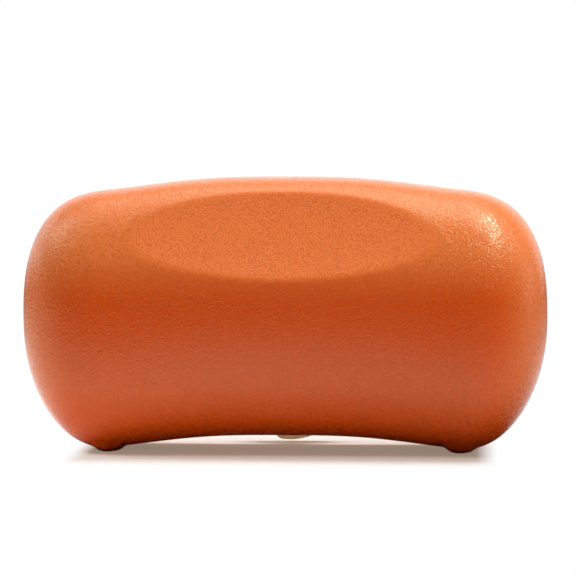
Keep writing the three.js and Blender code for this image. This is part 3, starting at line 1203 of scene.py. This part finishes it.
@dataclass
class Studio:
    """The floor, the white surroundings, the lamps and the camera.

    The lamps on the table stand apart from those on the pillow, as where each has its own snoots.
    """

    azimuth: float = math.radians(3.3)
    elevation: float = math.radians(3.0)
    distance: float = 1.8
    lens: float = 203.1
    sensor_width: float = 36.0
    shift_x: float = 0.0054
    shift_y: float = 0.0311
    floor_half: float = 3.0
    floor_white: float = 0.9
    floor_dark: float = 0.08
    floor_fade: Span = (-0.62, -0.42)
    seen_floor_color: Color = (0.66, 0.66, 0.66)
    shadow_end_fade: Span = (0.099, 0.119)
    shadow_side_fade: Span = (0.062, 0.102)
    # Painted bounce light: a share of warm emission lifts and warms the shadow near the pillow.
    shadow_veil: float = 0.27
    veil_color: Color = (1.0, 0.79, 0.61)
    lamp_target: tuple[float, float, float] = (0.0, 0.0, 0.08)
    room_light: float = 0.03

    def build(self, form: PillowForm) -> None:
        """Builds the studio round the pillow, but for the lamps.

        Args:
            form: The body's shape.
        """
        self.add_camera(Vector((0.0, form.offset, form.midline)))
        self.add_world()
        self.add_floor()
        bpy.context.scene.view_settings.view_transform = "Standard"
        LOG.info("studio ready")

    def add_lamps(self) -> None:
        """Adds the lamps, once every piece that they light is there."""
        lit = {receiver: bpy.data.collections.new(receiver.value) for receiver in Receiver}
        for piece in bpy.data.objects:
            if piece.type == "MESH":
                receiver = Receiver.FLOOR if piece.name == "floor" else Receiver.PILLOW
                lit[receiver].objects.link(piece)
        for box in SOFT_BOXES:
            box.build(Vector(self.lamp_target), lit[box.receiver])
        LOG.info("%d lamps", len(SOFT_BOXES))

    def add_camera(self, target: Vector) -> None:
        """Places the camera at the photograph's angle.

        Args:
            target: The point that the camera looks at.
        """
        flat = math.cos(self.elevation)
        away = Vector((math.sin(self.azimuth) * flat, -math.cos(self.azimuth) * flat,
                       math.sin(self.elevation)))
        data = bpy.data.cameras.new("front_camera")
        data.lens = self.lens
        data.sensor_width = self.sensor_width
        data.shift_x = self.shift_x
        data.shift_y = self.shift_y
        camera = new_object("front_camera", data)
        camera.location = target + away * self.distance
        camera.rotation_euler = (-away).to_track_quat("-Z", "Y").to_euler()
        bpy.context.scene.camera = camera

    def add_world(self) -> None:
        """Makes the surroundings: white for the camera, a dim room for the object."""
        world = bpy.data.worlds.new("surroundings")
        bpy.context.scene.world = world
        world.use_nodes = True
        tree = world.node_tree
        path = add_node(tree, "LightPath", {})
        strength = map_range(tree, path.outputs["Is Camera Ray"], 0.0, 1.0, self.room_light, 1.0)
        feed(tree, tree.nodes["Background"], {"Color": WHITE, "Strength": strength})

    def add_floor(self) -> None:
        """Lays a wide floor that keeps the object's shadow, lifted and warmed there by painted
        bounce light, and is plain white away from it.

        The light it throws back ends in front, as at the edge of a table.
        """
        half = self.floor_half
        mesh = bpy.data.meshes.new("floor")
        corners = [(-half, -half, 0.0), (half, -half, 0.0), (half, half, 0.0), (-half, half, 0.0)]
        mesh.from_pydata(corners, [], [(0, 1, 2, 3)])
        floor = new_object("floor", mesh)
        material, shader = new_material("floor_white")
        tree = material.node_tree
        seen = add_node(tree, "LightPath", {}).outputs["Is Camera Ray"]
        x, y, _ = object_axes(tree)
        table = map_range(tree, y, *self.floor_fade, self.floor_dark, self.floor_white)
        feed(tree, shader, {"Base Color": mix_color(tree, seen, table, self.seen_floor_color),
                            "Roughness": 1.0, "Specular IOR Level": 0.0})

        along, across = (map_range(tree, math_node(tree, "ABSOLUTE", axis), *fade, 1.0, 0.0)
                         for axis, fade in ((x, self.shadow_end_fade), (y, self.shadow_side_fade)))
        far = math_node(tree, "SUBTRACT", 1.0, math_node(tree, "MULTIPLY", along, across))
        # Near the pillow a share of warm emission is painted over the shadow as painted bounce
        # light; farther out the floor is plain white emission.
        white_and_glow_share = math_node(tree, "MAXIMUM", far, self.shadow_veil)
        white = add_node(tree, "Emission", {"Color": mix_color(tree, far, self.veil_color, WHITE)})
        mix = add_node(tree, "MixShader", {0: math_node(tree, "MULTIPLY", white_and_glow_share, seen),
                                           1: shader.outputs[0], 2: white.outputs[0]})
        feed(tree, tree.nodes["Material Output"], {"Surface": mix.outputs[0]})
        dress(floor, material)


def main() -> None:
    """Builds the whole pillow and its studio."""
    logging.basicConfig(level=logging.INFO, format="%(name)s: %(message)s")
    form = PillowForm()
    finishes = build_finishes()
    studio = Studio()
    studio.build(form)
    Cushion(form).build(finishes)
    InsertPlate().build(finishes)
    for mount in CupLayout().mounts(form):
        mount.build(finishes)
    studio.add_lamps()


if __name__ == "__main__":
    main()
